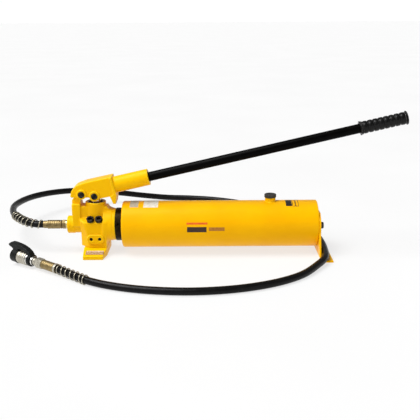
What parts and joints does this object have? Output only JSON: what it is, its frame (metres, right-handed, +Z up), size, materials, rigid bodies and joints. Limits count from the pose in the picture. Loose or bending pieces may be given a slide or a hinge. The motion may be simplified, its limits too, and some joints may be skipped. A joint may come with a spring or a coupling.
{
  "type": "hydraulic hand pump",
  "caption": "Hand-lever hydraulic pump with a cylindrical oil tank, cast head on two feet, long handle, and a hose ending in a capped quick coupler.",
  "frame": {"origin": "underside of the front foot, on the plunger's vertical axis and in the plane that the handle swings in", "axes": "+X along the tank, from the pump head to the tank's rear end; +Y away from the side with the two valve plugs; +Z up"},
  "size_m": [0.888, 0.6882, 0.3024],
  "materials": {
    "yellow_paint": "glossy enamel over castings and tank",
    "handle_paint": "black powder coat",
    "ring_oxide": "black-brown oxide, turned",
    "black_oxide": "black oxide, satin",
    "chrome": "hard chrome, ground",
    "steel": "machined",
    "zinc": "bright zinc plate",
    "olive_zinc": "yellow-olive passivated zinc, satin",
    "spring_wire": "pale zinc-plated wire",
    "hose_rubber": "smooth black hose cover",
    "grip_rubber": "moulded, slightly glossy",
    "cap_rubber": "moulded, satin",
    "seal_rubber": "plain",
    "cap_plastic": "dark grey moulding",
    "badge": "blank anodised plate"
  },
  "bodies": {
    "root": {"pump_body": "yellow_paint", "front_foot": "yellow_paint", "foot_screw_near": "black_oxide", "foot_screw_far": "black_oxide", "badge_plate": "badge", "gland_nut": "steel", "wiper_seal": "seal_rubber", "plunger_seal": "seal_rubber", "valve_plug_low": "black_oxide", "relief_spring_low": "spring_wire", "relief_ball_low": "chrome", "valve_plug_high": "black_oxide", "relief_spring_high": "spring_wire", "relief_ball_high": "chrome", "fulcrum_pin": "black_oxide", "fulcrum_retaining_ring": "steel", "outlet_spring": "spring_wire", "release_packing_nut": "steel", "release_ball": "chrome", "lock_ring": "ring_oxide", "neck_oring": "seal_rubber", "tank_shell": "yellow_paint", "tank_front_plate": "yellow_paint", "tank_rear_plate": "yellow_paint", "suction_tube": "steel", "suction_strainer": "zinc", "filler_neck": "yellow_paint", "rear_foot": "yellow_paint", "tie_washer": "black_oxide", "tie_bolt": "black_oxide", "outlet_washer": "zinc", "hose_nipple": "olive_zinc", "pump_ferrule": "olive_zinc", "hose": "hose_rubber", "pump_spring_guard": "spring_wire", "coupler_spring_guard": "spring_wire", "coupler_ferrule": "olive_zinc", "coupler_nipple": "zinc", "coupler_body": "zinc", "coupler_poppet": "steel", "dust_cap": "cap_rubber"},
    "lever": {"yoke": "yellow_paint", "handle_tube": "handle_paint", "handle_grip": "grip_rubber", "plunger_pin": "black_oxide", "plunger_retaining_ring": "steel"},
    "plunger": {"plunger": "chrome"},
    "suction_ball": {"suction_ball": "chrome"},
    "outlet_ball": {"outlet_ball": "chrome"},
    "release_valve": {"release_spindle": "steel", "release_knob": "black_oxide"},
    "cap_seal": {"filler_cap_oring": "seal_rubber"},
    "filler_cap": {"filler_cap": "cap_plastic", "dipstick": "zinc"},
    "coupler_sleeve": {"coupler_sleeve": "zinc"}
  },
  "joints": [
    {"name": "lever_swing", "type": "hinge", "parent": "root", "child": "lever", "pos_m": [-0.0267, 0, 0.1317], "axis": [0, -1, 0], "range_deg": [-6, 36]},
    {"name": "plunger_stroke", "type": "slide", "parent": "root", "child": "plunger", "axis": [0, 0, 1], "range_m": [-0.003, 0.0175]},
    {"name": "suction_ball_lift", "type": "slide", "parent": "root", "child": "suction_ball", "axis": [0, 0, 1], "range_m": [0, 0.0012]},
    {"name": "outlet_ball_lift", "type": "slide", "parent": "root", "child": "outlet_ball", "axis": [-1, 0, 0], "range_m": [0, 0.001], "stiffness_N_per_m": 40, "springref_m": -0.001},
    {"name": "release_turn", "type": "hinge", "parent": "root", "child": "release_valve", "pos_m": [0, 0.05, 0.038], "axis": [0, 1, 0], "range_deg": [0, 270]},
    {"name": "filler_cap_lift", "type": "slide", "parent": "root", "child": "cap_seal", "axis": [0, 0, 1], "range_m": [0, 0.06]},
    {"name": "filler_cap_turn", "type": "hinge", "parent": "cap_seal", "child": "filler_cap", "pos_m": [0.375, 0, 0.12], "axis": [0, 0, 1], "continuous": true},
    {"name": "coupler_sleeve_turn", "type": "hinge", "parent": "root", "child": "coupler_sleeve", "pos_m": [-0.13831, -0.09201, 0.01792], "axis": [-0.8195, 0.5714, 0.0451], "continuous": true}
  ],
  "couplings": [
    {"joint": "plunger_stroke", "follows": "lever_swing", "m_per_rad": 0.0273}
  ]
}
